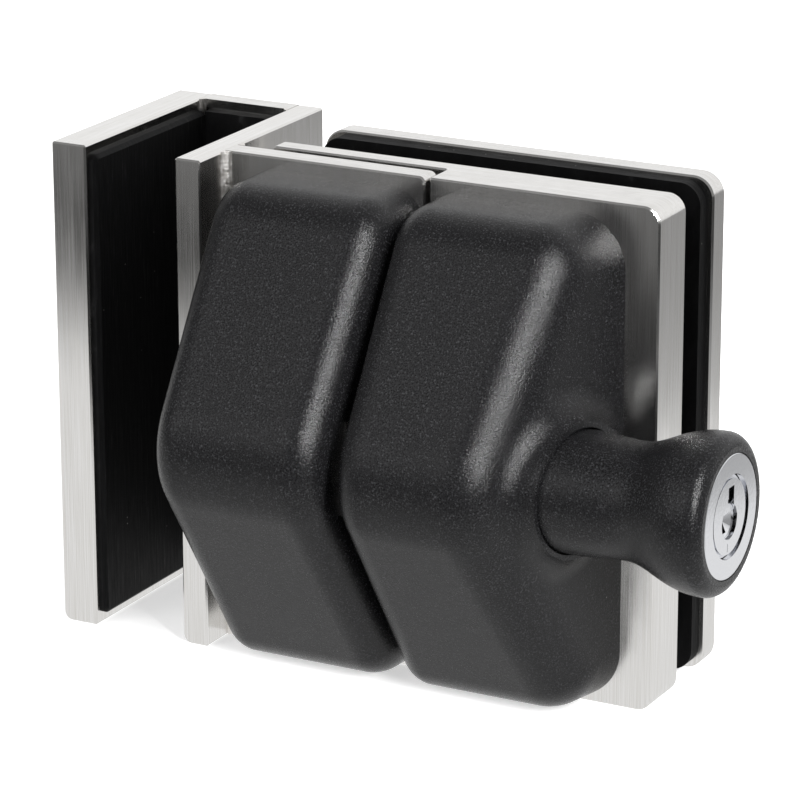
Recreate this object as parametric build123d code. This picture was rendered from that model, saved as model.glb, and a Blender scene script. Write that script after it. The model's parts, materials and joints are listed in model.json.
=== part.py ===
from build123d import *
from math import radians, tan
import os

# A pull latch with a key lock, for a frameless glass gate that meets its fixed panel at a corner.
# All sizes are in millimetres. X runs along the gate, Y away from the side with the knob, Z up.
# The origin is midway between the two clamp bolts, on the face that the gate's glass bears on.

# Sizes that both sides share
plate_height = 115.0
fixed_plate_thickness = 6.0
plate_gap = 1.1
edge_break = 0.4
running_clearance = 0.05
stop_clearance = 0.3
thread_clearance = 0.05

# Gate clamp
gate_glass = 10.0
front_gasket_thickness = 1.0
rear_gasket_thickness = 4.0
tongue_thickness = 5.0
rebate_clearance = 2.5
gate_body_left = -24.2
gate_body_right = 31.2
tongue_length = 43.9
gate_corner_radius = 4.0
back_plate_thickness = 6.0
back_plate_length = 97.0
back_plate_inset = 0.2
back_corner_radius = 5.0
gasket_inset = 0.8
rear_gasket_end_inset = 1.4
free_corner_radius = 1.5

# Clamp bolts through the gate's glass
clamp_bolt_radius = 4.0
clamp_bolt_spacing = 60.0
clamp_thread_depth = 10.0
clamp_bolt_tip_space = 1.0
clamp_head_radius = 8.0
clamp_socket_flats = 5.0
clamp_socket_depth = 3.2
glass_sleeve_radius = 6.5
bolt_hole_clearance = 0.3

# Channel for the fixed glass, which is bedded in sealant against the pads
fixed_glass = 20.8
sealant_gap = 0.6
channel_depth = 56.3
wall_projection = 11.0
left_wall_thickness = 9.0
right_wall_thickness = 6.5
web_thickness = 5.0
striker_wall_gap = 6.5
wall_corner_radius = 2.0
pad_thickness = 2.0
pad_front_inset = 1.2
pad_end_inset = 2.5
pad_corner_radius = 2.0
pad_bevel = 0.9
weld_leg = 1.2
plate_weld_leg = 1.8
weld_crown = 0.6

# Moulded housings
striker_housing_width = 43.9
latch_housing_width = 47.4
housing_edge_inset = 0.1
housing_top_inset = 2.8
housing_foot_inset = 0.5
housing_depth = 51.3
upper_shoulder_depth = 17.2
lower_shoulder_depth = 13.0
housing_wall = 3.0
ridge_radius = 20.5
shoulder_radius = 13.0
side_radius = 6.6
side_draft = 0.5
keeper_side_radius = 8.5
keeper_side_draft = 2.8
knob_side_radius = 12.5
knob_side_draft = 13.0
screw_boss_radius = 4.8
housing_screw_radius = 2.5
housing_screw_spacing_x = 26.0
housing_screw_end_margin = 15.5
housing_screw_grip = 10.0
housing_screw_tip_space = 1.0
housing_screw_head_radius = 4.8
housing_screw_socket_flats = 3.0
housing_screw_socket_depth = 2.0
screw_tip_share = 0.25

# Knob and bolt, all on one axis
axis_depth = 23.0
bolt_travel = 12.0
knob_neck_radius = 13.5
knob_waist_radius = 13.1
knob_end_radius = 17.7
knob_rim_radius = 2.8
knob_rim_width = 1.2
knob_length = 35.0
knob_waist_place = 0.45
knob_neck_run = 2.0
knob_flange_radius = 14.6
knob_flange_thickness = 3.0
knob_bore_radius = 10.5
knob_web_thickness = 3.0
knob_opening_clearance = 0.4
exit_boss_radius = 14.9
exit_flare_radius = 8.0
exit_reach = 24.0
knob_bush_wall = 1.0
knob_bush_length = 3.0
knob_bush_step = 0.7
bolt_radius = 6.0
bolt_tip_inset = 0.5
bolt_tip_chamfer = 1.0
bolt_head_thickness = 3.0
bolt_spigot_length = 2.0
bolt_bush_wall = 2.0
bolt_bush_flange_radius = 10.0
bolt_bush_flange_thickness = 2.0
bolt_bush_seat_height = 1.0

# Return spring
spring_wire_radius = 0.5
spring_turns = 5
spring_clearance = 0.6

# Key lock in the end of the knob
bezel_radius = 13.6
bezel_thickness = 1.6
bezel_edge_radius = 0.4
cylinder_radius = 10.4
cylinder_length = 26.0
cylinder_nose_radius = 7.0
plug_face_radius = 9.0
plug_face_depth = 3.0
plug_radius = 5.5
plug_recess = 0.3
plug_edge_chamfer = 0.5
plug_face_gap = 0.15
keyway_width = 2.0
keyway_height = 8.0
keyway_depth = 20.0
cylinder_nut_thickness = 3.0
cylinder_nut_flats = 17.0
tail_side = 5.0
cam_radius = 9.6
cam_thickness = 2.5
cam_notch_radius = 5.8
cam_screw_radius = 1.5
cam_screw_head_radius = 3.0
cam_screw_head_thickness = 1.6
cam_screw_grip = 5.5
cam_screw_hole_depth = 6.0
cam_screw_slot_width = 0.8
cam_screw_slot_depth = 0.8
cam_screw_head_edge = 0.6
plug_tail_reach = 3.0

# Stop that the lock's cam turns behind
stop_place = 9.0
stop_thickness = 3.0
stop_width = 5.0
stop_slot_clearance = 0.6
stop_slot_end_space = 1.0
stop_tip_gap = 6.6
stop_foot_width = 9.0
stop_foot_height = 22.0
stop_foot_thickness = 3.0
stop_foot_corner = 1.5
stop_screw_radius = 2.0
stop_screw_spacing = 14.0
stop_screw_depth = 6.0
stop_screw_head_radius = 3.4
stop_screw_head_thickness = 2.2
stop_screw_tip_space = 1.0
stop_screw_slot_width = 1.0
stop_screw_slot_depth = 1.0
stop_screw_head_edge = 0.8

# Keeper in the striker housing
keeper_wall = 2.8
keeper_clearance = 0.6
keeper_pocket_depth = 9.6
keeper_lead_in = 0.8
keeper_floor = 1.0
keeper_lip = 1.4
keeper_flange_thickness = 1.2
magnet_radius = 7.0
magnet_length = 8.0
magnet_backing = 3.0
keeper_boss_wall = 3.0

# Places worked out from the sizes
top_z = plate_height / 2
gate_rear_y = -front_gasket_thickness
gate_plate_thickness = fixed_plate_thickness + rebate_clearance + tongue_thickness
plate_front_y = gate_rear_y - gate_plate_thickness
fixed_rear_y = plate_front_y + fixed_plate_thickness
tongue_front_y = gate_rear_y - tongue_thickness
rear_gasket_y = gate_glass
back_plate_y = rear_gasket_y + rear_gasket_thickness
back_plate_rear_y = back_plate_y + back_plate_thickness
back_plate_right = gate_body_right - back_plate_inset
back_plate_left = back_plate_right - back_plate_length
tongue_left = gate_body_left - tongue_length

fixed_plate_right = gate_body_left - plate_gap
right_wall_right = fixed_plate_right - housing_edge_inset - striker_housing_width - striker_wall_gap
right_wall_left = right_wall_right - right_wall_thickness
channel_inside = pad_thickness + fixed_glass + sealant_gap
left_wall_right = right_wall_left - channel_inside
left_wall_left = left_wall_right - left_wall_thickness
channel_front_y = plate_front_y - wall_projection
channel_back_y = channel_front_y + channel_depth
web_front_y = channel_back_y - web_thickness
web_pad_front_y = web_front_y - pad_thickness
pad_front_y = channel_front_y + pad_front_inset
pad_half_height = top_z - pad_end_inset

striker_right_x = fixed_plate_right - housing_edge_inset
striker_left_x = striker_right_x - striker_housing_width
striker_center_x = (striker_left_x + striker_right_x) / 2
latch_left_x = gate_body_left + housing_edge_inset
latch_right_x = latch_left_x + latch_housing_width
latch_center_x = (latch_left_x + latch_right_x) / 2
housing_top_z = top_z - housing_top_inset
housing_foot_z = housing_foot_inset - top_z
housing_screw_z = top_z - housing_screw_end_margin
axis_y = plate_front_y - axis_depth
latch_left_at_axis = latch_left_x + axis_depth * tan(radians(side_draft))
striker_right_at_axis = striker_right_x - axis_depth * tan(radians(keeper_side_draft))

bolt_bush_seat_x = latch_left_at_axis + housing_wall + bolt_bush_seat_height
bolt_bush_right = bolt_bush_seat_x + bolt_bush_flange_thickness
exit_plane_x = exit_reach
bolt_tip_x = latch_left_at_axis + bolt_tip_inset
bush_left_x = exit_plane_x - exit_boss_radius * tan(radians(knob_side_draft)) - knob_bush_length - knob_bush_step
flange_right_x = bush_left_x - stop_clearance
flange_left_x = flange_right_x - knob_flange_thickness
knob_face_x = exit_plane_x + knob_length
cylinder_seat_x = knob_face_x - cylinder_length
knob_web_x = cylinder_seat_x - knob_web_thickness
stop_left_x = stop_place
stop_right_x = stop_left_x + stop_thickness
knob_inner_x = stop_left_x - bolt_spigot_length - stop_slot_end_space
bolt_head_x = knob_inner_x - bolt_head_thickness
cam_left_x = stop_right_x + plug_tail_reach
cam_right_x = cam_left_x + cam_thickness
knob_slot_x = stop_right_x + bolt_travel + stop_slot_end_space

keeper_left_x = (striker_right_at_axis - keeper_pocket_depth - keeper_floor - magnet_length
                 - magnet_backing)
keeper_flange_x = striker_right_at_axis - keeper_flange_thickness
keeper_pocket_half = bolt_radius + keeper_clearance
keeper_half = keeper_pocket_half + keeper_wall
keeper_flange_half = keeper_half + keeper_lip
stop_screw_x = stop_right_x - stop_foot_width / 2


def block(x_from, x_to, y_from, y_to, z_from, z_to):
    """Straight-sided block between two places on each axis."""
    size = (x_to - x_from, y_to - y_from, z_to - z_from)
    middle = ((x_from + x_to) / 2, (y_from + y_to) / 2, (z_from + z_to) / 2)
    return Pos(*middle) * Box(*size)


def bar_x(radius, x_from, x_to, y=axis_y, z=0.0):
    """Round bar along X."""
    return Pos((x_from + x_to) / 2, y, z) * Rot(0, 90, 0) * Cylinder(radius, x_to - x_from)


def square_bar_x(half, x_from, x_to):
    """Square bar along the bolt's axis."""
    return block(x_from, x_to, axis_y - half, axis_y + half, -half, half)


def bar_y(radius, x, z, y_from, y_to):
    """Round bar along Y."""
    return Pos(x, (y_from + y_to) / 2, z) * Rot(90, 0, 0) * Cylinder(radius, y_to - y_from)


def hex_bar_x(flats, x_from, x_to, y, z):
    """Hexagonal bar along X, across two flats."""
    outline = Plane.YZ * RegularPolygon(flats / 2, 6, major_radius=False)
    return Pos(x_from, y, z) * extrude(outline, x_to - x_from)


def hex_bar_y(flats, x, z, y_from, y_to):
    """Hexagonal bar along Y, across two flats."""
    outline = Plane.XZ * RegularPolygon(flats / 2, 6, major_radius=False)
    return Pos(x, y_to, z) * extrude(outline, y_to - y_from)


def cone_y(radius_from, radius_to, x, z, y_from, y_to):
    """Cone along Y, with a radius for each end."""
    outline = Polyline((0, y_from), (radius_from, y_from), (radius_to, y_to), (0, y_to), close=True)
    return Pos(x, 0, z) * revolve(make_face(outline), Axis.Y)


def broken(solid, beyond_x=None):
    """The same plate with its sharp edges broken, or only those beyond a place on X."""
    edges = solid.edges()
    if beyond_x is not None:
        edges = [edge for edge in edges if edge.bounding_box().max.X > beyond_x + edge_break]
    return chamfer(edges, edge_break)


def rounded_plate(x_from, x_to, y_from, y_to, corner, half_height):
    """Upright plate with rounded corners."""
    plate = block(x_from, x_to, y_from, y_to, -half_height, half_height)
    return fillet(plate.edges().filter_by(Axis.Y), corner)


def clamp_bolt_places():
    """Heights of the two clamp bolts."""
    return [clamp_bolt_spacing / 2, -clamp_bolt_spacing / 2]


def housing_screw_places(center_x):
    """Places of the four screws behind one housing."""
    half_x = housing_screw_spacing_x / 2
    return [(center_x + sx * half_x, sz * housing_screw_z) for sz in (1, -1) for sx in (-1, 1)]


def lower_left_edge(wall):
    """Bottom edge of a wall on its left side, front to back."""
    return wall.edges().filter_by(Axis.Y).group_by(Axis.X)[0].sort_by(Axis.Z)[0]


def channel_left_wall():
    """Thick outer wall of the channel, with its outer bottom corner rounded."""
    wall = block(left_wall_left, left_wall_right, channel_front_y, channel_back_y, -top_z, top_z)
    return broken(fillet(lower_left_edge(wall), wall_corner_radius))


def channel_web():
    """Back of the channel, between its two walls."""
    return block(left_wall_right, right_wall_left, web_front_y, channel_back_y, -top_z, top_z)


def channel_right_wall():
    """Inner wall of the channel, which the striker plate is welded to."""
    wall = block(right_wall_left, right_wall_right, channel_front_y, channel_back_y, -top_z, top_z)
    return broken(fillet(lower_left_edge(wall), wall_corner_radius))


def striker_plate():
    """Plate welded to the channel, which carries the striker housing."""
    plate = block(right_wall_right, fixed_plate_right, plate_front_y, fixed_rear_y, -top_z, top_z)
    free_end = plate.edges().filter_by(Axis.Y).group_by(Axis.X)[-1]
    plate = broken(fillet(free_end, free_corner_radius), right_wall_right)
    for x, z in housing_screw_places(striker_center_x):
        plate -= screw_hole(x, z, plate_front_y, fixed_rear_y)
    return plate


def weld_bead(x, y, toward_x, toward_y, leg):
    """Raised weld up an inner corner, running the height of the plates."""
    corner = (x, y)
    end_x = (x + toward_x * leg, y)
    end_y = (x, y + toward_y * leg)
    crown = (x + toward_x * weld_crown * leg, y + toward_y * weld_crown * leg)
    edge = ThreePointArc(end_x, crown, end_y)
    face = make_face([Line(corner, end_x), edge, Line(end_y, corner)])
    return Pos(0, 0, -top_z) * extrude(face, plate_height)


def left_pad():
    """Rubber pad on the outer wall of the channel, bevelled round its free edges."""
    pad = block(left_wall_right, left_wall_right + pad_thickness, pad_front_y, web_pad_front_y,
                -pad_half_height, pad_half_height)
    pad = fillet(pad.edges().filter_by(Axis.X).group_by(Axis.Y)[0], pad_corner_radius)
    face_edges = pad.faces().sort_by(Axis.X)[-1].edges().sort_by(Axis.Y)
    return chamfer(face_edges[:-1], pad_bevel)


def web_pad():
    """Rubber pad on the back of the channel."""
    return block(left_wall_right + pad_thickness, right_wall_left - weld_leg, web_pad_front_y, web_front_y,
                 -pad_half_height, pad_half_height)


def screw_hole(x, z, y_front, y_rear):
    """Clearance hole for a housing screw, countersunk from behind."""
    radius = housing_screw_radius + bolt_hole_clearance
    head = housing_screw_head_radius + thread_clearance
    hole = bar_y(radius, x, z, y_front - 1, y_rear + 1)
    return hole + cone_y(radius, head, x, z, y_rear - (head - radius), y_rear)


def countersunk_screw(x, z, y_tip, y_head, radius, head_radius, flats, socket_depth):
    """Countersunk socket screw along Y, its head at the back."""
    cone_depth = head_radius - radius
    screw = bar_y(radius, x, z, y_tip, y_head - cone_depth)
    screw = chamfer(screw.edges().group_by(Axis.Y)[0], screw_tip_share * radius)
    screw += cone_y(radius, head_radius, x, z, y_head - cone_depth, y_head)
    return screw - hex_bar_y(flats, x, z, y_head - socket_depth, y_head + 1)


def housing_screw(x, z, y_rear):
    """Screw that holds a housing from behind its plate."""
    return countersunk_screw(
        x, z, plate_front_y - housing_screw_grip, y_rear - thread_clearance,
        housing_screw_radius, housing_screw_head_radius,
        housing_screw_socket_flats, housing_screw_socket_depth,
    )


def gate_plate():
    """Rebated plate: a thick body beside the fixed plate and a tongue that laps behind it."""
    outline = Polyline(
        (gate_body_left, plate_front_y), (gate_body_right, plate_front_y),
        (gate_body_right, gate_rear_y), (tongue_left, gate_rear_y),
        (tongue_left, tongue_front_y), (gate_body_left, tongue_front_y), close=True,
    )
    plate = Pos(0, 0, -top_z) * extrude(make_face(outline), plate_height)
    across = plate.edges().filter_by(Axis.Y)
    plate = broken(fillet(across.group_by(Axis.X)[-1], gate_corner_radius))
    for z in clamp_bolt_places():
        radius = clamp_bolt_radius + thread_clearance
        plate -= bar_y(radius, 0, z, gate_rear_y - clamp_thread_depth, 1)
    for x, z in housing_screw_places(latch_center_x):
        plate -= screw_hole(x, z, plate_front_y, gate_rear_y)
    for z in (stop_screw_spacing / 2, -stop_screw_spacing / 2):
        radius = stop_screw_radius + thread_clearance
        plate -= bar_y(radius, stop_screw_x, z, plate_front_y - 1, plate_front_y + stop_screw_depth)
    return plate


def front_gasket():
    """Thin gasket between the gate plate and the glass."""
    gasket = rounded_plate(tongue_left + gasket_inset, gate_body_right - gasket_inset,
                           gate_rear_y, 0, gate_corner_radius, top_z - gasket_inset)
    for z in clamp_bolt_places():
        gasket -= bar_y(glass_sleeve_radius + bolt_hole_clearance, 0, z, gate_rear_y - 1, 1)
    return gasket


def rear_gasket():
    """Thick gasket between the glass and the back plate."""
    gasket = rounded_plate(back_plate_left + rear_gasket_end_inset, back_plate_right - rear_gasket_end_inset,
                           rear_gasket_y, back_plate_y, back_corner_radius, top_z - gasket_inset)
    for z in clamp_bolt_places():
        gasket -= bar_y(glass_sleeve_radius + bolt_hole_clearance, 0, z, rear_gasket_y - 1, back_plate_y + 1)
    return gasket


def gate_back_plate():
    """Plate behind the glass, countersunk for the clamp bolts."""
    plate = broken(rounded_plate(back_plate_left, back_plate_right, back_plate_y, back_plate_rear_y,
                                 back_corner_radius, top_z))
    radius = clamp_bolt_radius + bolt_hole_clearance
    head = clamp_head_radius + thread_clearance
    for z in clamp_bolt_places():
        plate -= bar_y(radius, 0, z, back_plate_y - 1, back_plate_rear_y + 1)
        plate -= cone_y(radius, head, 0, z, back_plate_rear_y - (head - radius), back_plate_rear_y)
    return plate


def clamp_bolt(z):
    """Countersunk socket bolt that clamps the gate's glass."""
    tip = gate_rear_y - clamp_thread_depth + clamp_bolt_tip_space
    return countersunk_screw(0, z, tip, back_plate_rear_y - thread_clearance, clamp_bolt_radius,
                             clamp_head_radius, clamp_socket_flats, clamp_socket_depth)


def glass_sleeve(z):
    """Plastic sleeve round a clamp bolt, in the hole in the glass."""
    sleeve = bar_y(glass_sleeve_radius, 0, z, gate_rear_y + thread_clearance, back_plate_y - thread_clearance)
    return sleeve - bar_y(clamp_bolt_radius + bolt_hole_clearance, 0, z, gate_rear_y - 1, back_plate_y + 1)


def housing_form(left, right, drafts, radii, inset=0.0):
    """Solid form of a housing, drawn in by inset, and reaching a little behind its plate."""
    behind = plate_front_y + 2 * housing_wall
    ridge_y = plate_front_y - housing_depth
    profile = Plane.YZ * make_face(Polyline(
        (behind, housing_foot_z), (plate_front_y - lower_shoulder_depth, housing_foot_z), (ridge_y, 0),
        (plate_front_y - upper_shoulder_depth, housing_top_z), (behind, housing_top_z), close=True,
    ))
    corners = profile.vertices().sort_by(Axis.Y)
    profile = fillet(corners[0], ridge_radius)
    shoulders = profile.vertices().sort_by(Axis.Z)
    shoulders = [v for v in shoulders if behind > v.Y + 1 and abs(v.Z) > plate_height / 3]
    profile = fillet(shoulders, shoulder_radius)
    plan = make_face(Polyline(
        (left - 2 * housing_wall * tan(radians(drafts[0])), behind),
        (left + housing_depth * tan(radians(drafts[0])), ridge_y),
        (right - housing_depth * tan(radians(drafts[1])), ridge_y),
        (right + 2 * housing_wall * tan(radians(drafts[1])), behind), close=True,
    ))
    if inset:
        profile = offset(profile, -inset, kind=Kind.INTERSECTION)
        plan = offset(plan, -inset, kind=Kind.INTERSECTION)
    long_form = Pos(left - housing_depth, 0, 0) * extrude(profile, right - left + 2 * housing_depth, dir=(1, 0, 0))
    form = long_form & (Pos(0, 0, -plate_height) * extrude(plan, 2 * plate_height, dir=(0, 0, 1)))
    for side, radius in zip((-Axis.X, Axis.X), radii):
        form = round_side(form, side, radius - inset)
    return form


def round_side(form, side, radius):
    """Rounds the whole edge round one side of a housing, up to its back."""
    flat_sides = [f for f in form.faces().filter_by(GeomType.PLANE) if abs(f.normal_at().X) > 0.9]
    face = sorted(flat_sides, key=lambda f: f.center().dot(side.direction))[-1]
    back_y = form.bounding_box().max.Y
    rim = [edge for edge in face.edges() if edge.center().Y < back_y - 0.01]
    return fillet(rim, radius)


def in_front(form):
    """What of a form stands in front of the plates."""
    reach = 4 * housing_depth
    return form - Pos(0, plate_front_y + reach / 2, 0) * Box(reach, reach, reach)


def striker_form(inset=0.0):
    """Solid form of the striker housing."""
    return housing_form(striker_left_x, striker_right_x, (side_draft, keeper_side_draft),
                        (side_radius, keeper_side_radius), inset)


def screw_bosses(center_x, outer):
    """Bosses inside a housing that its four screws bite in."""
    bosses = None
    for x, z in housing_screw_places(center_x):
        boss = bar_y(screw_boss_radius, x, z, plate_front_y - housing_depth, plate_front_y) & outer
        boss -= bar_y(housing_screw_radius + thread_clearance, x, z,
                      plate_front_y - housing_screw_grip - housing_screw_tip_space, plate_front_y + 1)
        bosses = boss if bosses is None else bosses + boss
    return bosses


def striker_housing():
    """Moulded housing on the fixed plate, with a boss for the keeper."""
    outer = in_front(striker_form())
    inner = striker_form(housing_wall)
    boss = square_bar_x(keeper_half + keeper_boss_wall, keeper_left_x, striker_right_x) & outer
    housing = outer - inner + screw_bosses(striker_center_x, outer) + boss
    housing -= square_bar_x(keeper_half + thread_clearance, keeper_left_x - 1, striker_right_x)
    return housing - square_bar_x(keeper_flange_half + thread_clearance, keeper_flange_x, striker_right_x)


def keeper():
    """Square keeper that the bolt enters, with a seat for the magnet behind its floor."""
    floor_x = striker_right_at_axis - keeper_pocket_depth
    body = square_bar_x(keeper_half, keeper_left_x, striker_right_at_axis)
    body += square_bar_x(keeper_flange_half, keeper_flange_x + thread_clearance, striker_right_at_axis)
    body -= square_bar_x(keeper_pocket_half, floor_x, striker_right_at_axis + 1)
    mouth = body.faces().sort_by(Axis.X)[-1].inner_wires()[0].edges()
    body = chamfer(mouth, keeper_lead_in)
    return body - bar_x(magnet_radius + thread_clearance, keeper_left_x - 1, floor_x - keeper_floor)


def keeper_magnet():
    """Round magnet that draws the bolt out of the latch."""
    right = striker_right_at_axis - keeper_pocket_depth - keeper_floor
    return bar_x(magnet_radius, right - magnet_length, right)


def magnet_backing_disc():
    """Steel disc that closes the keeper behind the magnet."""
    return bar_x(magnet_radius, keeper_left_x, keeper_left_x + magnet_backing)


def latch_form(inset=0.0):
    """Solid form of the latch housing, without the boss for the knob."""
    return housing_form(latch_left_x, latch_right_x, (side_draft, knob_side_draft),
                        (side_radius, knob_side_radius), inset)


def flared_form():
    """Latch housing's form with the flared boss that the knob comes out of."""
    outer = latch_form()
    boss = bar_x(exit_boss_radius, 0, exit_plane_x + 2 * exit_flare_radius)
    form = outer + boss
    rim = new_edges(outer, boss, combined=form).filter_by(GeomType.LINE, reverse=True)
    form = fillet(rim, exit_flare_radius)
    beyond = Pos(exit_plane_x, axis_y, 0) * Rot(0, 0, -knob_side_draft) * Pos(housing_depth, 0, 0)
    return in_front(form - beyond * Box(2 * housing_depth, 4 * housing_depth, plate_height / 2))


def latch_housing():
    """Moulded housing on the gate plate, open at the sides for the knob and the bolt."""
    outer = flared_form()
    inner = latch_form(housing_wall)
    seat_boss = bar_x(bolt_bush_flange_radius + 1, latch_left_at_axis - 5, bolt_bush_seat_x) & outer
    housing = outer - inner + screw_bosses(latch_center_x, outer) + seat_boss
    housing -= bar_x(bolt_radius + bolt_bush_wall + thread_clearance, latch_left_at_axis - 5, 0)
    housing -= bar_x(knob_flange_radius + knob_opening_clearance, 0, bush_left_x)
    housing -= bar_x(knob_neck_radius + knob_opening_clearance, 0, exit_plane_x + exit_boss_radius)
    seat_radius = knob_neck_radius + running_clearance + knob_bush_wall + thread_clearance
    housing -= bar_x(seat_radius, bush_left_x - 1, bush_left_x + knob_bush_length)
    return housing


def bolt_bush():
    """Flanged bush that the bolt slides in, pressed into the housing from inside."""
    sleeve = bar_x(bolt_radius + bolt_bush_wall, latch_left_at_axis + bolt_tip_inset, bolt_bush_right)
    sleeve += bar_x(bolt_bush_flange_radius, bolt_bush_right - bolt_bush_flange_thickness, bolt_bush_right)
    return sleeve - bar_x(bolt_radius + running_clearance, latch_left_at_axis - 1, bolt_bush_right + 1)


def knob_bush():
    """Thin liner ring that the knob's neck slides in."""
    inner = knob_neck_radius + running_clearance
    ring = bar_x(inner + knob_bush_wall, bush_left_x, bush_left_x + knob_bush_length)
    return ring - bar_x(inner, bush_left_x - 1, bush_left_x + knob_bush_length + 1)


def knob():
    """Moulded pull knob with a waisted grip, bored for the lock, with a slot for the stop."""
    waist_x = exit_plane_x + knob_waist_place * knob_length
    widest = (knob_face_x - knob_rim_width * knob_rim_radius, knob_end_radius)
    neck = (exit_plane_x + knob_neck_run, knob_neck_radius)
    grip = Spline(neck, (waist_x, knob_waist_radius), widest, tangents=[(1, 0), (1, 0)])
    face_edge = (knob_face_x, knob_end_radius - knob_rim_radius)
    rim = TangentArc(widest, face_edge, tangent=(1, 0))
    outline = make_face([
        Line((knob_inner_x, 0), (knob_inner_x, knob_neck_radius)),
        Line((knob_inner_x, knob_neck_radius), (flange_left_x, knob_neck_radius)),
        Line((flange_left_x, knob_neck_radius), (flange_left_x, knob_flange_radius)),
        Line((flange_left_x, knob_flange_radius), (flange_right_x, knob_flange_radius)),
        Line((flange_right_x, knob_flange_radius), (flange_right_x, knob_neck_radius)),
        Line((flange_right_x, knob_neck_radius), neck),
        grip,
        rim,
        Line(face_edge, (knob_face_x, 0)),
        Line((knob_face_x, 0), (knob_inner_x, 0)),
    ])
    body = Pos(0, axis_y, 0) * revolve(Plane.XZ * outline, Axis.X)
    body -= bar_x(knob_bore_radius, knob_inner_x - 1, knob_web_x)
    body -= bar_x(cylinder_nose_radius + thread_clearance, knob_web_x - 1, cylinder_seat_x + 1)
    body -= bar_x(cylinder_radius + thread_clearance, cylinder_seat_x, knob_face_x + 1)
    body -= bar_x(bezel_radius + thread_clearance, knob_face_x - bezel_thickness, knob_face_x + 1)
    half_slot = stop_width / 2 + stop_slot_clearance
    slot_back_y = axis_y + knob_flange_radius + 1
    return body - block(knob_inner_x - 1, knob_slot_x, axis_y, slot_back_y, -half_slot, half_slot)


def latch_bolt():
    """Round bolt with a head that closes the inner end of the knob."""
    bolt = bar_x(bolt_radius, bolt_tip_x, bolt_head_x)
    bolt = chamfer(bolt.edges().group_by(Axis.X)[0], bolt_tip_chamfer)
    bolt += bar_x(knob_neck_radius, bolt_head_x, knob_inner_x)
    spigot = bar_x(knob_bore_radius - thread_clearance, knob_inner_x, knob_inner_x + bolt_spigot_length)
    return bolt + spigot


def return_spring():
    """Compression spring between the bolt's bush and the bolt's head."""
    start = bolt_bush_right + spring_wire_radius
    length = bolt_head_x - spring_wire_radius - start
    radius = bolt_radius + spring_clearance + spring_wire_radius
    coil = Helix(length / spring_turns, length, radius, center=(0, 0, 0), direction=(0, 0, 1))
    wire = Plane(origin=coil @ 0, z_dir=coil % 0) * Circle(spring_wire_radius)
    spring = sweep(wire, path=coil, is_frenet=True)
    return Pos(start, axis_y, 0) * Rot(0, 90, 0) * spring


def lock_cylinder():
    """Body of the key lock, with a bezel that shows in the knob's face."""
    body = bar_x(cylinder_radius, cylinder_seat_x, knob_face_x - bezel_thickness)
    body += bar_x(bezel_radius, knob_face_x - bezel_thickness, knob_face_x)
    outer_rim = body.edges().filter_by(GeomType.CIRCLE).group_by(Axis.X)[-1]
    body = fillet(outer_rim, bezel_edge_radius)
    nose_x = knob_web_x - cylinder_nut_thickness
    body += bar_x(cylinder_nose_radius, nose_x, cylinder_seat_x)
    body -= bar_x(plug_radius + running_clearance, nose_x - 1, knob_face_x + 1)
    plug_seat_x = knob_face_x - plug_recess - plug_face_depth
    return body - bar_x(plug_face_radius + plug_face_gap, plug_seat_x - running_clearance, knob_face_x + 1)


def cylinder_nut():
    """Hexagon nut that holds the lock in the knob."""
    left = knob_web_x - cylinder_nut_thickness
    nut = hex_bar_x(cylinder_nut_flats, left, knob_web_x, axis_y, 0)
    return nut - bar_x(cylinder_nose_radius + thread_clearance, left - 1, knob_web_x + 1)


def key_plug():
    """Plug that the key turns, with a keyway in front and a square tail behind."""
    face_x = knob_face_x - plug_recess
    seat_x = face_x - plug_face_depth
    nose_x = knob_web_x - cylinder_nut_thickness
    plug = bar_x(plug_face_radius, seat_x, face_x)
    plug = chamfer(plug.edges().filter_by(GeomType.CIRCLE).group_by(Axis.X)[-1], plug_edge_chamfer)
    plug += bar_x(plug_radius, nose_x, seat_x)
    half_tail = tail_side / 2
    plug += block(cam_left_x, nose_x, axis_y - half_tail, axis_y + half_tail, -half_tail, half_tail)
    half_key = keyway_width / 2
    key_low = -keyway_height / 2
    keyway = block(face_x - keyway_depth, face_x + 1, axis_y - half_key, axis_y + half_key,
                   key_low, key_low + keyway_height)
    plug -= keyway
    hole_right = cam_left_x + cam_screw_hole_depth
    return plug - bar_x(cam_screw_radius + thread_clearance, cam_left_x - 1, hole_right)


def lock_cam():
    """Notched disc on the plug's tail. Turned, it is caught behind the stop."""
    cam = bar_x(cam_radius, cam_left_x, cam_right_x)
    half_tail = tail_side / 2 + thread_clearance
    cam -= block(cam_left_x - 1, cam_right_x + 1, axis_y - half_tail, axis_y + half_tail,
                 -half_tail, half_tail)
    half_notch = stop_width / 2 + stop_slot_clearance
    notch_y = axis_y + cam_notch_radius
    return cam - block(cam_left_x - 1, cam_right_x + 1, notch_y, axis_y + cam_radius + 1,
                       -half_notch, half_notch)


def cam_screw():
    """Screw that holds the cam on the plug's tail."""
    head_left = cam_left_x - cam_screw_head_thickness
    screw = bar_x(cam_screw_head_radius, head_left, cam_left_x)
    screw = fillet(screw.edges().group_by(Axis.X)[0], cam_screw_head_edge)
    screw += bar_x(cam_screw_radius, cam_left_x, cam_left_x + cam_screw_grip)
    half_slot = cam_screw_slot_width / 2
    return screw - block(head_left - 1, head_left + cam_screw_slot_depth, axis_y - cam_radius, axis_y + cam_radius,
                         -half_slot, half_slot)


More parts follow.
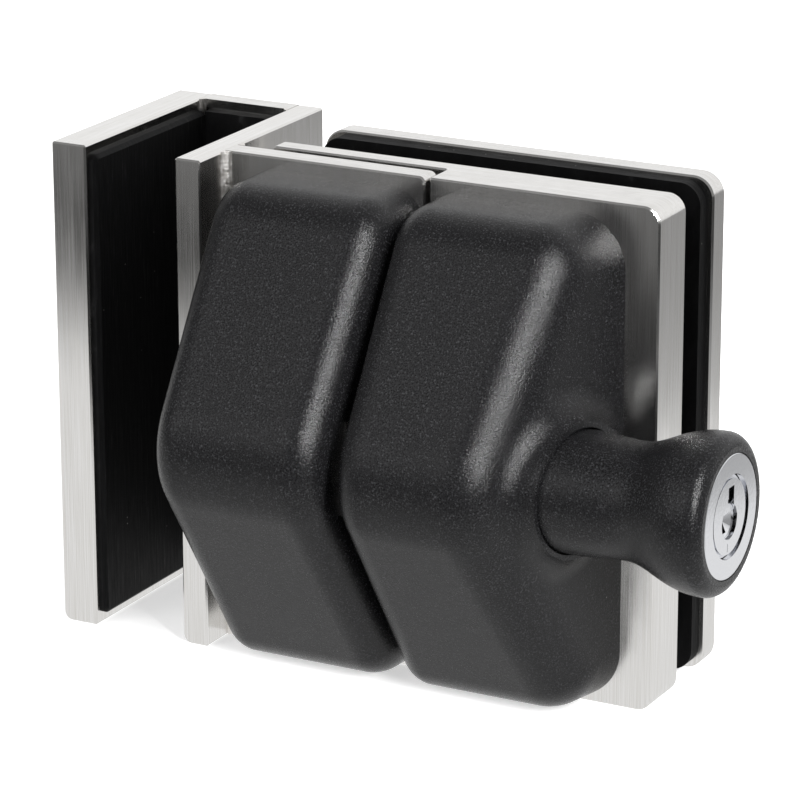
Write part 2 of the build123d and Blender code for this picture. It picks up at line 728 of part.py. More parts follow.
def lock_stop():
    """Bent bracket on the gate plate, whose finger reaches into the slot in the knob."""
    foot_left = stop_right_x - stop_foot_width
    half_foot = stop_foot_height / 2
    foot_front_y = plate_front_y - stop_foot_thickness
    foot = block(foot_left, stop_right_x, foot_front_y, plate_front_y, -half_foot, half_foot)
    foot = fillet(foot.edges().filter_by(Axis.Y), stop_foot_corner)
    tip_y = axis_y + stop_tip_gap
    half_width = stop_width / 2
    finger = block(stop_left_x, stop_right_x, tip_y, plate_front_y, -half_width, half_width)
    bracket = foot + finger
    for z in (stop_screw_spacing / 2, -stop_screw_spacing / 2):
        hole = stop_screw_radius + thread_clearance
        bracket -= bar_y(hole, stop_screw_x, z, foot_front_y - 1, plate_front_y + 1)
    return bracket


def stop_screw(z):
    """Pan-head screw that holds the stop's foot."""
    head_back = plate_front_y - stop_foot_thickness
    head_front = head_back - stop_screw_head_thickness
    screw = bar_y(stop_screw_head_radius, stop_screw_x, z, head_front, head_back)
    screw = fillet(screw.edges().group_by(Axis.Y)[0], stop_screw_head_edge)
    tip_y = plate_front_y + stop_screw_depth - stop_screw_tip_space
    screw += bar_y(stop_screw_radius, stop_screw_x, z, head_back, tip_y)
    half_slot = stop_screw_slot_width / 2
    reach = stop_screw_head_radius + 1
    return screw - block(stop_screw_x - reach, stop_screw_x + reach, head_front - 1, head_front + stop_screw_slot_depth,
                         z - half_slot, z + half_slot)


def welds():
    """Weld beads of the channel and of the striker plate."""
    inner_left = weld_bead(left_wall_right, web_front_y, 1, -1, weld_leg)
    inner_right = weld_bead(right_wall_left, web_front_y, -1, -1, weld_leg)
    front = weld_bead(right_wall_right, plate_front_y, 1, -1, plate_weld_leg)
    rear = weld_bead(right_wall_right, fixed_rear_y, 1, 1, plate_weld_leg)
    return {"channel_weld_left": inner_left, "channel_weld_right": inner_right,
            "striker_plate_weld_front": front, "striker_plate_weld_rear": rear}


def save(name, solid):
    """Writes one piece to its own file."""
    export_step(solid, f"parts/{name}.step")


def build():
    """Makes every piece and writes it."""
    pieces = {
        "channel_left_wall": channel_left_wall(),
        "channel_web": channel_web(),
        "channel_right_wall": channel_right_wall(),
        "striker_plate": striker_plate(),
        "channel_left_pad": left_pad(),
        "channel_web_pad": web_pad(),
        "striker_housing": striker_housing(),
        "keeper": keeper(),
        "keeper_magnet": keeper_magnet(),
        "magnet_backing_disc": magnet_backing_disc(),
        "gate_plate": gate_plate(),
        "gate_front_gasket": front_gasket(),
        "gate_rear_gasket": rear_gasket(),
        "gate_back_plate": gate_back_plate(),
        "latch_housing": latch_housing(),
        "bolt_bush": bolt_bush(),
        "knob_bush": knob_bush(),
        "lock_stop": lock_stop(),
        "knob": knob(),
        "latch_bolt": latch_bolt(),
        "return_spring": return_spring(),
        "lock_cylinder": lock_cylinder(),
        "cylinder_nut": cylinder_nut(),
        "key_plug": key_plug(),
        "lock_cam": lock_cam(),
        "cam_screw": cam_screw(),
    }
    pieces.update(welds())
    for number, (x, z) in enumerate(housing_screw_places(striker_center_x), 1):
        pieces[f"striker_housing_screw_{number}"] = housing_screw(x, z, fixed_rear_y)
    for number, (x, z) in enumerate(housing_screw_places(latch_center_x), 1):
        pieces[f"latch_housing_screw_{number}"] = housing_screw(x, z, gate_rear_y)
    for side, z in zip(("upper", "lower"), clamp_bolt_places()):
        pieces[f"clamp_bolt_{side}"] = clamp_bolt(z)
        pieces[f"glass_sleeve_{side}"] = glass_sleeve(z)
    for side, sign in (("upper", 1), ("lower", -1)):
        pieces[f"stop_screw_{side}"] = stop_screw(sign * stop_screw_spacing / 2)
    return pieces


os.makedirs("parts", exist_ok=True)
for node_name, piece in build().items():
    save(node_name, piece)
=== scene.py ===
import json
from math import cos, pi, radians, sin

import bmesh
import bpy
from mathutils import Euler, Matrix, Vector


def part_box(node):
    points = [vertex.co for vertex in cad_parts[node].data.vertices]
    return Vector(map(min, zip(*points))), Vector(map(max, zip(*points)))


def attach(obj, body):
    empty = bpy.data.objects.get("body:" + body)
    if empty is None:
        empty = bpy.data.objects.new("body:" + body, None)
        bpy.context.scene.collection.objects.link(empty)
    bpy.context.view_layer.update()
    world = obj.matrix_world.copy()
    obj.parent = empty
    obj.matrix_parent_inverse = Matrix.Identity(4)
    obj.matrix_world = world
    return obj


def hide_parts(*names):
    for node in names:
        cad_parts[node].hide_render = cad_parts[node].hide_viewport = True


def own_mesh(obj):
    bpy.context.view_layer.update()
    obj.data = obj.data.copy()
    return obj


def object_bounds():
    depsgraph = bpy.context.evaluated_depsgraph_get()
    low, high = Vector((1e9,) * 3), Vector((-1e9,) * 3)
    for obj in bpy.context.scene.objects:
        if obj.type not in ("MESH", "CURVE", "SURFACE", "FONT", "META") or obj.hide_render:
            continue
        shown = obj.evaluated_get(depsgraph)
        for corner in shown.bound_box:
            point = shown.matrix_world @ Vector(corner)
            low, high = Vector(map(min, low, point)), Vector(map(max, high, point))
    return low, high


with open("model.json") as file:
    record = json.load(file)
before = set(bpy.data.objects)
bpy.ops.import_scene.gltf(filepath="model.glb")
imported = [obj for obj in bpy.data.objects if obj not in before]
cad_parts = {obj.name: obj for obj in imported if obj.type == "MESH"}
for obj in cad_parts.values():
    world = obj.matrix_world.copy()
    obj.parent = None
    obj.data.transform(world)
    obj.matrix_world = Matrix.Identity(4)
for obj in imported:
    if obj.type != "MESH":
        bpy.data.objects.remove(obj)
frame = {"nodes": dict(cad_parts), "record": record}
cad_low, cad_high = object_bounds()
nodes = frame["nodes"]

MM = 0.001

# Most of a noise texture's values lie between these
NOISE_LOW, NOISE_HIGH = 0.3, 0.7

# A Mix node's sockets for vectors and for colours come after those for numbers
VECTOR_A, VECTOR_B, VECTOR_RESULT = 4, 5, 1
COLOUR_A, COLOUR_B, COLOUR_RESULT = 6, 7, 2


# Small helpers

def linear(hex_colour):
    """The linear colour of an sRGB hex value such as "#2b2c2e"."""
    parts = [int(hex_colour[i:i + 2], 16) / 255 for i in (1, 3, 5)]
    return [c / 12.92 if c <= 0.04045 else ((c + 0.055) / 1.055) ** 2.4 for c in parts] + [1.0]


def connect(tree, node, sockets):
    """Gives inputs their values, or links them to another node or to one of its outputs.

    sockets names the inputs, or lists what the first ones take. On a Map Range node that is the value,
    the two ends of its range, and what these two become.
    """
    if not isinstance(sockets, dict):
        sockets = dict(enumerate(sockets))
    for socket, value in sockets.items():
        if isinstance(value, bpy.types.Node):
            value = value.outputs[0]
        if isinstance(value, bpy.types.NodeSocket):
            tree.links.new(value, node.inputs[socket])
        else:
            node.inputs[socket].default_value = value


def add(tree, kind, sockets=(), stops=(), **settings):
    """Adds a node with its settings and links. stops are a colour ramp's (place, hex colour) pairs."""
    node = tree.nodes.new(kind)
    for name, value in settings.items():
        setattr(node, name, value)
    connect(tree, node, sockets)
    if stops:
        elements = node.color_ramp.elements
        while len(elements) < len(stops):
            elements.new(0.5)
        for element, (place, colour) in zip(elements, stops):
            element.position = place
            element.color = linear(colour)
    return node


def grain(tree, place, size, detail=2.0, roughness=0.5):
    """Noise whose spots are size = (x, y, z) millimetres."""
    scaled = add(tree, "ShaderNodeMapping", {"Vector": place, "Scale": [1 / (s * MM) for s in size]})
    noise = add(tree, "ShaderNodeTexNoise", {
        "Vector": scaled, "Scale": 1.0, "Detail": detail, "Roughness": roughness})
    return noise.outputs["Fac"]


def specks(tree, place, spacing, radius, share):
    """1 on small dots, one in each cell of spacing millimetres, of which only that share shows.

    The radius is a part of the spacing.
    """
    cells = add(tree, "ShaderNodeTexVoronoi", {"Vector": place, "Scale": 1 / (spacing * MM)})
    dot = add(tree, "ShaderNodeMath", (cells.outputs["Distance"], radius), operation="LESS_THAN")
    drawn = add(tree, "ShaderNodeMath", (cells.outputs["Color"], 1 - share), operation="GREATER_THAN")
    return add(tree, "ShaderNodeMath", (dot, drawn), operation="MULTIPLY")


def emptied_tree(owner):
    """The node tree of a material or a world, with nothing in it."""
    owner.use_nodes = True
    owner.node_tree.nodes.clear()
    return owner.node_tree


def new_material(name):
    """A material, its node tree, and its shader, which is linked to the output."""
    material = bpy.data.materials.new(name)
    tree = emptied_tree(material)
    shader = add(tree, "ShaderNodeBsdfPrincipled")
    add(tree, "ShaderNodeOutputMaterial", {"Surface": shader})
    return material, tree, shader


# Materials

def brushed_stainless(name, along):
    """Stainless steel 304 ground with a belt: satin, with fine straight scratches up the faces."""
    material, tree, shader = new_material(name)
    place = add(tree, "ShaderNodeTexCoord").outputs["Object"]
    normal = add(tree, "ShaderNodeNewGeometry").outputs["Normal"]
    upward = add(tree, "ShaderNodeSeparateXYZ", (normal,)).outputs["Z"]
    level = add(tree, "ShaderNodeMath", (upward,), operation="ABSOLUTE")
    on_top = add(tree, "ShaderNodeMapRange", (level, 0.5, 0.8, 0.0, 1.0))
    # Scratches are 0.02 mm apart on the real plate, and are drawn at 0.25 mm so that they show
    spacing = 0.25
    length = 24.0
    upright = grain(tree, place, (spacing, spacing, length), 3.0, 0.55)
    # On the top and bottom edges they run along the plate
    flat_size = (length, spacing, length) if along == "x" else (spacing, length, length)
    flat = grain(tree, place, flat_size, 3.0, 0.55)
    lines = add(tree, "ShaderNodeMix", {"Factor": on_top, "A": upright, "B": flat}, data_type="FLOAT")
    # Broad uneven bands, where the belt pressed harder
    bands = grain(tree, place, (3.0, 3.0, 45.0))
    cloud = grain(tree, place, (9.0, 9.0, 14.0), 3.0, 0.6)
    paler = add(tree, "ShaderNodeMapRange", (lines, NOISE_LOW, NOISE_HIGH, 0.0, 1.0))
    tone = add(tree, "ShaderNodeMix", {
        "Factor": paler, COLOUR_A: linear("#d9d7d3"), COLOUR_B: linear("#ebeae9")}, data_type="RGBA")
    line_rough = add(tree, "ShaderNodeMapRange", (lines, NOISE_LOW, NOISE_HIGH, 0.14, 0.20))
    band_rough = add(tree, "ShaderNodeMapRange", (bands, NOISE_LOW, NOISE_HIGH, -0.03, 0.03))
    cloud_rough = add(tree, "ShaderNodeMapRange", (cloud, 0.35, 0.75, -0.01, 0.04))
    rough = add(tree, "ShaderNodeMath", (line_rough, band_rough), operation="ADD")
    rough = add(tree, "ShaderNodeMath", (rough, cloud_rough), operation="ADD")
    # The scratches spread reflections across them more than along them
    run = (1.0, 0.0, 0.0) if along == "x" else (0.0, 1.0, 0.0)
    scratch_way = add(tree, "ShaderNodeMix", {
        "Factor": on_top, VECTOR_A: (0.0, 0.0, 1.0), VECTOR_B: run}, data_type="VECTOR")
    across = add(tree, "ShaderNodeVectorMath", (normal, scratch_way.outputs[VECTOR_RESULT]),
                 operation="CROSS_PRODUCT")
    bump = add(tree, "ShaderNodeBump", {"Height": lines, "Strength": 0.22, "Distance": 0.04 * MM})
    connect(tree, shader, {
        "Metallic": 1.0, "Base Color": tone.outputs[COLOUR_RESULT], "Roughness": rough,
        "Anisotropic": 0.88, "Tangent": across, "Normal": bump})
    return material


def weld_steel(name):
    """TIG weld in stainless steel, left as laid: bright overlapping ripples, a little uneven."""
    material, tree, shader = new_material(name)
    place = add(tree, "ShaderNodeTexCoord").outputs["Object"]
    # A wave texture of scale 1 repeats every 0.31 m
    ripple_spacing = 0.9 * MM
    ripples = add(tree, "ShaderNodeTexWave", {
        "Vector": place, "Scale": 0.31 / ripple_spacing, "Distortion": 2.5, "Detail": 2.0,
        "Detail Scale": 1.5}, bands_direction="Z").outputs["Fac"]
    lumps = grain(tree, place, (0.7, 0.7, 1.3), 3.0, 0.6)
    tone = add(tree, "ShaderNodeValToRGB", (lumps,), stops=[(NOISE_LOW, "#d2cdc6"), (NOISE_HIGH, "#f6f4f2")])
    rough = add(tree, "ShaderNodeMapRange", (lumps, NOISE_LOW, NOISE_HIGH, 0.30, 0.48))
    low_ripples = add(tree, "ShaderNodeMath", (ripples, 0.12), operation="MULTIPLY")
    height = add(tree, "ShaderNodeMath", (low_ripples, lumps), operation="ADD")
    bump = add(tree, "ShaderNodeBump", {"Height": height, "Strength": 0.5, "Distance": 0.15 * MM})
    connect(tree, shader, {"Metallic": 1.0, "Base Color": tone, "Roughness": rough, "Normal": bump})
    return material


def moulded_polymer(name, grain_depth, grain_size, roughness):
    """Glass-filled nylon from a spark-eroded mould: charcoal, with a fine pebbled grain that glints, and
    painted glints on its paler peaks.
    """
    material, tree, shader = new_material(name)
    place = add(tree, "ShaderNodeTexCoord").outputs["Object"]
    pebbles = grain(tree, place, [grain_size] * 3, 2.0, 0.6)
    cloudy = grain(tree, place, (9.0, 9.0, 9.0))
    dust = specks(tree, place, spacing=3.2, radius=0.05, share=0.12)
    # The grain's peaks are painted paler: partly the grain's own tone, partly painted glints
    tone = add(tree, "ShaderNodeValToRGB", (pebbles,),
               stops=[(0.38, "#111112"), (0.58, "#19191a"), (0.72, "#38383a")])
    dusted = add(tree, "ShaderNodeMix", {
        "Factor": dust, COLOUR_A: tone, COLOUR_B: linear("#6f6e6c")}, data_type="RGBA")
    pebble_rough = add(tree, "ShaderNodeMapRange", (
        pebbles, NOISE_LOW, NOISE_HIGH, roughness + 0.08, roughness - 0.08))
    cloud_rough = add(tree, "ShaderNodeMapRange", (cloudy, NOISE_LOW, NOISE_HIGH, -0.03, 0.03))
    rough = add(tree, "ShaderNodeMath", (pebble_rough, cloud_rough), operation="ADD")
    bump = add(tree, "ShaderNodeBump", {"Height": pebbles, "Strength": grain_depth, "Distance": 0.25 * MM})
    connect(tree, shader, {
        "Base Color": dusted.outputs[COLOUR_RESULT], "Roughness": rough, "IOR": 1.5,
        "Specular IOR Level": 0.24, "Normal": bump})
    return material


def black_rubber(name):
    """EPDM sheet rubber: deep black and dull, with pale dust and a few scuffs from the knife."""
    material, tree, shader = new_material(name)
    place = add(tree, "ShaderNodeTexCoord").outputs["Object"]
    fine = grain(tree, place, (0.45, 0.45, 0.45))
    scuffs = grain(tree, place, (5.0, 0.5, 9.0), 3.0, 0.7)
    dust = specks(tree, place, spacing=1.6, radius=0.09, share=0.22)
    tone = add(tree, "ShaderNodeValToRGB", (scuffs,),
               stops=[(0.4, "#101011"), (0.62, "#171718"), (0.78, "#343435")])
    dusted = add(tree, "ShaderNodeMix", {
        "Factor": dust, COLOUR_A: tone, COLOUR_B: linear("#8b8986")}, data_type="RGBA")
    rough = add(tree, "ShaderNodeMapRange", (scuffs, 0.3, 0.8, 0.7, 0.5))
    bump = add(tree, "ShaderNodeBump", {"Height": fine, "Strength": 0.4, "Distance": 0.12 * MM})
    connect(tree, shader, {
        "Base Color": dusted.outputs[COLOUR_RESULT], "Roughness": rough, "IOR": 1.5,
        "Specular IOR Level": 0.15, "Normal": bump})
    return material


def chrome_plate(name):
    """Polished zinc casting with bright chrome: nearly a mirror, with faint polishing marks."""
    material, tree, shader = new_material(name)
    place = add(tree, "ShaderNodeTexCoord").outputs["Object"]
    marks = grain(tree, place, (3.0, 0.8, 0.8), 3.0, 0.6)
    rough = add(tree, "ShaderNodeMapRange", (marks, 0.3, 0.75, 0.07, 0.16))
    bump = add(tree, "ShaderNodeBump", {"Height": marks, "Strength": 0.14, "Distance": 0.1 * MM})
    connect(tree, shader, {
        "Metallic": 1.0, "Base Color": linear("#e4e5e8"), "Roughness": rough, "Normal": bump})
    return material


def sleeve_nylon(name):
    """Natural nylon, turned from rod: milky white with faint turning lines."""
    material, tree, shader = new_material(name)
    place = add(tree, "ShaderNodeTexCoord").outputs["Object"]
    turned = grain(tree, place, (4.0, 0.3, 4.0))
    tone = add(tree, "ShaderNodeValToRGB", (turned,), stops=[(NOISE_LOW, "#dcd9cf"), (NOISE_HIGH, "#e9e6dd")])
    rough = add(tree, "ShaderNodeMapRange", (turned, NOISE_LOW, NOISE_HIGH, 0.38, 0.5))
    bump = add(tree, "ShaderNodeBump", {"Height": turned, "Strength": 0.15, "Distance": 0.05 * MM})
    connect(tree, shader, {
        "Base Color": tone, "Subsurface Weight": 0.15, "Subsurface Radius": [1.0 * MM] * 3,
        "Roughness": rough, "Normal": bump})
    return material


def plated_steel(name):
    """Zinc-plated steel: soft grey-blue metal with a cloudy film."""
    material, tree, shader = new_material(name)
    place = add(tree, "ShaderNodeTexCoord").outputs["Object"]
    film = grain(tree, place, (1.6, 1.6, 1.6), 3.0, 0.6)
    tone = add(tree, "ShaderNodeValToRGB", (film,), stops=[(NOISE_LOW, "#a9abad"), (NOISE_HIGH, "#c6c8c9")])
    rough = add(tree, "ShaderNodeMapRange", (film, NOISE_LOW, NOISE_HIGH, 0.26, 0.42))
    bump = add(tree, "ShaderNodeBump", {"Height": film, "Strength": 0.1, "Distance": 0.1 * MM})
    connect(tree, shader, {"Metallic": 1.0, "Base Color": tone, "Roughness": rough, "Normal": bump})
    return material


steel_along_x = brushed_stainless("brushed_stainless_plates", "x")
steel_along_y = brushed_stainless("brushed_stainless_walls", "y")
weld_metal = weld_steel("tig_weld_steel")
polymer = moulded_polymer("moulded_nylon_housings", grain_depth=0.55, grain_size=0.4, roughness=0.2)
grip_polymer = moulded_polymer("moulded_nylon_knob", grain_depth=0.5, grain_size=0.4, roughness=0.2)
rubber = black_rubber("epdm_rubber")
chrome = chrome_plate("bright_chrome")
nylon = sleeve_nylon("turned_nylon")
zinc = plated_steel("zinc_plated_steel")

finish_of_slot = {
    "stainless_steel": steel_along_x, "moulded_polymer": polymer, "black_rubber": rubber,
    "chrome_plate": chrome, "sleeve_nylon": nylon, "plated_steel": zinc,
}
finish_of_node = {
    "channel_left_wall": steel_along_y, "channel_right_wall": steel_along_y, "knob": grip_polymer,
    "channel_weld_left": weld_metal, "channel_weld_right": weld_metal,
    "striker_plate_weld_front": weld_metal, "striker_plate_weld_rear": weld_metal,
}
slot_of_node = {part["node"]: part["material_slot"] for part in frame["record"]["subparts"]}


def give_finish(piece, material):
    """Puts the material on every face of a piece."""
    piece.data.materials.clear()
    piece.data.materials.append(material)


for name, node in nodes.items():
    give_finish(node, finish_of_node.get(name, finish_of_slot[slot_of_node[name]]))


# Making new pieces

def merged_copy(name):
    """A copy of a CAD node's shape, with its loose triangles joined up."""
    shape = bmesh.new()
    shape.from_mesh(nodes[name].data)
    bmesh.ops.remove_doubles(shape, verts=shape.verts, dist=0.002 * MM)
    return shape


def new_piece(name, shape):
    """An object that holds a finished bmesh, which is then cleared away."""
    mesh = bpy.data.meshes.new(name)
    shape.to_mesh(mesh)
    shape.free()
    piece = bpy.data.objects.new(name, mesh)
    bpy.context.scene.collection.objects.link(piece)
    return piece


def shade_by_angle(piece, degrees):
    """Smooth shading, with a sharp edge wherever two faces meet at more than the angle."""
    mesh = piece.data
    if "custom_normal" in mesh.attributes:
        mesh.attributes.remove(mesh.attributes["custom_normal"])
    mesh.shade_smooth()
    mesh.set_sharp_from_angle(angle=radians(degrees))


def round_cut(x_back, x_front, radius_back, radius_front, y, z):
    """Round or tapered hole along X."""
    shape = bmesh.new()
    place = Matrix.Translation(((x_back + x_front) / 2, y, z)) @ Matrix.Rotation(pi / 2, 4, "Y")
    bmesh.ops.create_cone(shape, cap_ends=True, segments=72, radius1=radius_back, radius2=radius_front,
                          depth=x_front - x_back, matrix=place)
    return new_piece("round_cut", shape)


def slot_cut(x_back, x_front, y_from, y_to, z_from, z_to):
    """Straight-sided slot."""
    shape = bmesh.new()
    middle = ((x_back + x_front) / 2, (y_from + y_to) / 2, (z_from + z_to) / 2)
    size = (x_front - x_back, y_to - y_from, z_to - z_from)
    bmesh.ops.create_cube(shape, size=1.0, matrix=Matrix.Translation(middle) @ Matrix.Diagonal((*size, 1.0)))
    return new_piece("slot_cut", shape)


def ring_cut(x_back, x_front, inner, outer, y):
    """Ring along X, around the axis at y."""
    shape = bmesh.new()
    corners = [shape.verts.new((x, y, radius)) for x, radius in (
        (x_back, inner), (x_front, inner), (x_front, outer), (x_back, outer))]
    edges = [shape.edges.new((corners[n - 1], corners[n])) for n in range(4)]
    bmesh.ops.spin(shape, geom=corners + edges, cent=(0, y, 0), axis=(1, 0, 0), angle=2 * pi, steps=96,
                   use_merge=True)
    bmesh.ops.recalc_face_normals(shape, faces=shape.faces[:])
    return new_piece("ring_cut", shape)


def carved(name, shape, cuts):
    """A new piece: the shape less its cuts, which are then cleared away."""
    piece = new_piece(name, shape)
    for cut in cuts:
        modifier = piece.modifiers.new("cut", "BOOLEAN")
        modifier.operation = "DIFFERENCE"
        modifier.solver = "EXACT"
        modifier.object = cut
    bpy.context.view_layer.update()
    finished = bpy.data.meshes.new_from_object(piece.evaluated_get(bpy.context.evaluated_depsgraph_get()))
    piece.modifiers.clear()
    piece.data = finished
    for cut in cuts:
        bpy.data.objects.remove(cut)
    return piece


# Key plug: the CAD plug with the sunk keyhole that a key is pushed into

plug_low, plug_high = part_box("key_plug")
plug_face = plug_high[0]
plug_y = (plug_low[1] + plug_high[1]) / 2
cuts_front = plug_face + 1 * MM

# Round hole with a dished floor, a little below the axis
hole_z = -1.1 * MM
hole_radius = 3.9 * MM
hole_floor = plug_face - 0.9 * MM
dish_floor = hole_floor - 1.2 * MM
dish_floor_radius = 1.2 * MM

# Key slot above it
slot_depth = 8 * MM
slot_left = plug_y - 0.7 * MM
slot_right = plug_y + 2.1 * MM
slot_bottom = 1.9 * MM
slot_top = 6.4 * MM

# Step cut round the plug's edge, which leaves a groove inside the bezel. Its outer size clears the plug.
groove_depth = 1.0 * MM
groove_inner = 8.2 * MM
groove_outer = 9.4 * MM

# Fine upright mark below the hole
mark_depth = 0.2 * MM
mark_left = plug_y - 0.9 * MM
mark_right = plug_y - 0.7 * MM
mark_bottom = -7.6 * MM
mark_top = -5.8 * MM

plug = carved("keyed_plug", merged_copy("key_plug"), [
    round_cut(hole_floor, cuts_front, hole_radius, hole_radius, plug_y, hole_z),
    round_cut(dish_floor, hole_floor, dish_floor_radius, hole_radius, plug_y, hole_z),
    slot_cut(plug_face - slot_depth, cuts_front, slot_left, slot_right, slot_bottom, slot_top),
    ring_cut(plug_face - groove_depth, cuts_front, groove_inner, groove_outer, plug_y),
    slot_cut(plug_face - mark_depth, cuts_front, mark_left, mark_right, mark_bottom, mark_top),
])
shade_by_angle(plug, 25)
give_finish(plug, chrome)
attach(plug, "lock_plug")
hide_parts("key_plug")

# The shutter closes the top of the hole, behind its mouth
shutter_back = plug_face - 1.3 * MM
shutter_thickness = 0.6 * MM
shutter_radius = hole_radius - 0.05 * MM
shutter_bottom = 0.35 * MM
shutter_rounding = 0.12 * MM

shutter_shape = bmesh.new()
bmesh.ops.create_circle(
    shutter_shape, cap_ends=True, segments=72, radius=shutter_radius,
    matrix=Matrix.Translation((shutter_back, plug_y, hole_z)) @ Matrix.Rotation(pi / 2, 4, "Y"))
bmesh.ops.bisect_plane(
    shutter_shape, geom=shutter_shape.verts[:] + shutter_shape.edges[:] + shutter_shape.faces[:],
    plane_co=(0, 0, shutter_bottom), plane_no=(0, 0, -1), clear_outer=True)
grown = bmesh.ops.extrude_face_region(shutter_shape, geom=shutter_shape.faces[:])
bmesh.ops.translate(shutter_shape, verts=[v for v in grown["geom"] if isinstance(v, bmesh.types.BMVert)],
                    vec=(shutter_thickness, 0, 0))
bmesh.ops.recalc_face_normals(shutter_shape, faces=shutter_shape.faces[:])
bmesh.ops.bevel(shutter_shape, geom=shutter_shape.edges[:], affect="EDGES", offset=shutter_rounding,
                segments=2, profile=0.5, material=-1)
shutter = new_piece("keyhole_shutter", shutter_shape)
give_finish(shutter, chrome)
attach(shutter, "lock_plug")


# Return spring: a copy of the CAD coil, which on the real latch closes up as the knob goes in, with a mesh of
# its own

coil = new_piece("closing_coil", merged_copy("return_spring"))
shade_by_angle(coil, 50)
give_finish(coil, zinc)
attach(coil, "gate_side")
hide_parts("return_spring")
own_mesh(coil)


# Floor and background

table_shape = bmesh.new()
bmesh.ops.create_grid(table_shape, x_segments=2, y_segments=2, size=3.0,
                      matrix=Matrix.Translation((0, 0, cad_low.z)))
floor = new_piece("table", table_shape)

# What gloss on the object shows of the table is painted light and shade, given as where each change of tone
# starts and ends. A painted lit stretch has a dark gap in front of it, and beyond the gap lies a painted dim
# room. The edges run aslant.
lit_front = (-230 * MM, -135 * MM)
room_edge = (-310 * MM, -280 * MM)
lit_side = (150 * MM, 171 * MM)
far_side = (171 * MM, 260 * MM)
left_side = (-300 * MM, -140 * MM)
front_slant = -0.25
side_slant = 0.25


def white_table():
    """White laminate. What gloss on the object sees on it is a painted soft light that ends some way off."""
    material = bpy.data.materials.new("white_laminate")
    tree = emptied_tree(material)
    place = add(tree, "ShaderNodeTexCoord").outputs["Object"]
    split = add(tree, "ShaderNodeSeparateXYZ", (place,))
    x, y = split.outputs["X"], split.outputs["Y"]
    forward = add(tree, "ShaderNodeMath", (x, front_slant, y), operation="MULTIPLY_ADD")
    sideways = add(tree, "ShaderNodeMath", (y, side_slant, x), operation="MULTIPLY_ADD")
    lit_table = add(tree, "ShaderNodeMapRange", (forward, *lit_front, 0.035, 0.89),
                    interpolation_type="SMOOTHSTEP")
    dim_room = add(tree, "ShaderNodeMapRange", (forward, *room_edge, 0.15, 0.0),
                   interpolation_type="SMOOTHSTEP")
    front_tone = add(tree, "ShaderNodeMath", (lit_table, dim_room), operation="ADD")
    # The painted light ends on the knob's side too, and fades beyond
    side_edge = add(tree, "ShaderNodeMapRange", (sideways, *lit_side, 1.0, 0.55),
                    interpolation_type="SMOOTHSTEP")
    fading = add(tree, "ShaderNodeMapRange", (sideways, *far_side, 1.0, 0.7))
    side_tone = add(tree, "ShaderNodeMath", (side_edge, fading), operation="MULTIPLY")
    # Painted light from the left
    left_glow = add(tree, "ShaderNodeMapRange", (x, *left_side, 0.02, 0.0))
    toned = add(tree, "ShaderNodeMath", (front_tone, left_glow), operation="ADD")
    mirrored = add(tree, "ShaderNodeMath", (toned, side_tone), operation="MULTIPLY")
    ray = add(tree, "ShaderNodeLightPath")
    lit = add(tree, "ShaderNodeBsdfDiffuse", {"Color": linear("#c4c4c4")})
    # Gloss sees the painted light and shade as a glow
    gloss = add(tree, "ShaderNodeEmission", {"Color": mirrored, "Strength": 1.0})
    shown = add(tree, "ShaderNodeBsdfDiffuse", {"Color": linear("#f2f2f2")})
    glow = add(tree, "ShaderNodeEmission", {"Color": linear("#ffffff"), "Strength": 0.55})
    white = add(tree, "ShaderNodeAddShader", (shown, glow))
    unseen = add(tree, "ShaderNodeMixShader", (ray.outputs["Is Glossy Ray"], lit, gloss))
    both = add(tree, "ShaderNodeMixShader", (ray.outputs["Is Camera Ray"], unseen, white))
    add(tree, "ShaderNodeOutputMaterial", {"Surface": both})
    return material


give_finish(floor, white_table())

world = bpy.data.worlds.new("studio")
bpy.context.scene.world = world
sky = emptied_tree(world)
direction = add(sky, "ShaderNodeTexCoord")
heading = add(sky, "ShaderNodeSeparateXYZ", (direction.outputs["Generated"],))
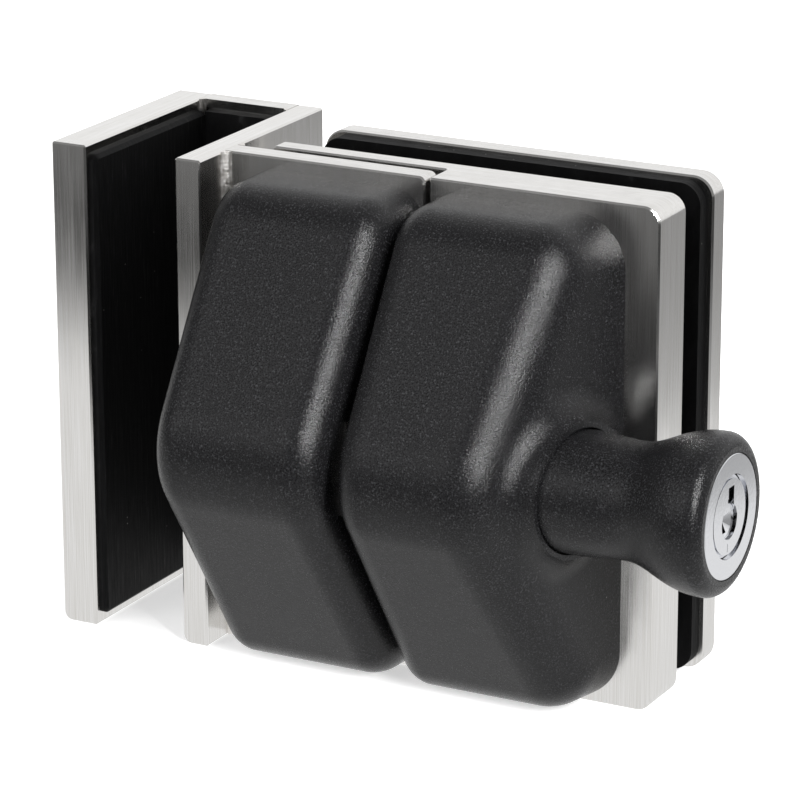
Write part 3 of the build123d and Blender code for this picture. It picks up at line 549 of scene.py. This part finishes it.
# Gloss shows a white backdrop behind the object and a dark room in front of it
behind = add(sky, "ShaderNodeMapRange", (heading.outputs["Y"], 0.05, 0.65, 0.26, 1.0),
             interpolation_type="SMOOTHSTEP")
room_tone = add(sky, "ShaderNodeCombineColor", (behind, behind, behind))
room = add(sky, "ShaderNodeBackground", {"Color": room_tone, "Strength": 1.0})
soft_light = add(sky, "ShaderNodeBackground", {"Color": linear("#ffffff"), "Strength": 0.5})
backdrop = add(sky, "ShaderNodeBackground", {"Color": linear("#ffffff"), "Strength": 1.0})
sky_ray = add(sky, "ShaderNodeLightPath")
unseen_sky = add(sky, "ShaderNodeMixShader", (sky_ray.outputs["Is Glossy Ray"], soft_light, room))
whole_sky = add(sky, "ShaderNodeMixShader", (sky_ray.outputs["Is Camera Ray"], unseen_sky, backdrop))
add(sky, "ShaderNodeOutputWorld", {"Surface": whole_sky})


# Lamps

def softbox(name, azimuth, elevation, distance, width, height, power, in_gloss=True):
    """Area lamp aimed at the object. Azimuth 0 is in front and 90 on the knob's side."""
    lamp = bpy.data.lights.new(name, "AREA")
    lamp.shape = "RECTANGLE"
    lamp.size = width
    lamp.size_y = height
    lamp.energy = power
    holder = bpy.data.objects.new(name, lamp)
    a, e = radians(azimuth), radians(elevation)
    away = Vector((sin(a) * cos(e), -cos(a) * cos(e), sin(e)))
    holder.location = away * distance
    holder.rotation_mode = "QUATERNION"
    holder.rotation_quaternion = away.to_track_quat("Z", "Y")
    holder.visible_glossy = in_gloss
    bpy.context.scene.collection.objects.link(holder)
    return holder


softbox("rear_softbox", azimuth=180, elevation=38, distance=1.5, width=1.2, height=0.7, power=12,
        in_gloss=False)
side_light = softbox("side_softbox", azimuth=52, elevation=32, distance=1.2, width=0.085, height=0.8,
                     power=22)
softbox("front_softbox", azimuth=-30, elevation=27, distance=1.5, width=0.9, height=0.9, power=3.4)

# The narrow side light falls on these alone, so it doesn't burn out the other steel's corners
side_lit = bpy.data.collections.new("side_lit_pieces")
for name in ("striker_housing", "latch_housing", "knob", "gate_plate", "striker_plate_weld_front"):
    side_lit.objects.link(nodes[name])
side_lit.objects.link(floor)
side_light.light_linking.receiver_collection = side_lit


# Camera, solved from the plates' corners in the photograph

lens = bpy.data.cameras.new("camera")
lens.sensor_width = 36.0
lens.lens = 187.03
lens.clip_start = 0.05
lens.clip_end = 20.0
camera = bpy.data.objects.new("camera", lens)
camera.location = (383.7 * MM, -791.1 * MM, 288.0 * MM)
camera.rotation_euler = Euler((radians(72.2166), radians(0.1055), radians(28.0961)), "XYZ")
bpy.context.scene.collection.objects.link(camera)
bpy.context.scene.camera = camera
bpy.context.scene.view_settings.view_transform = "Standard"
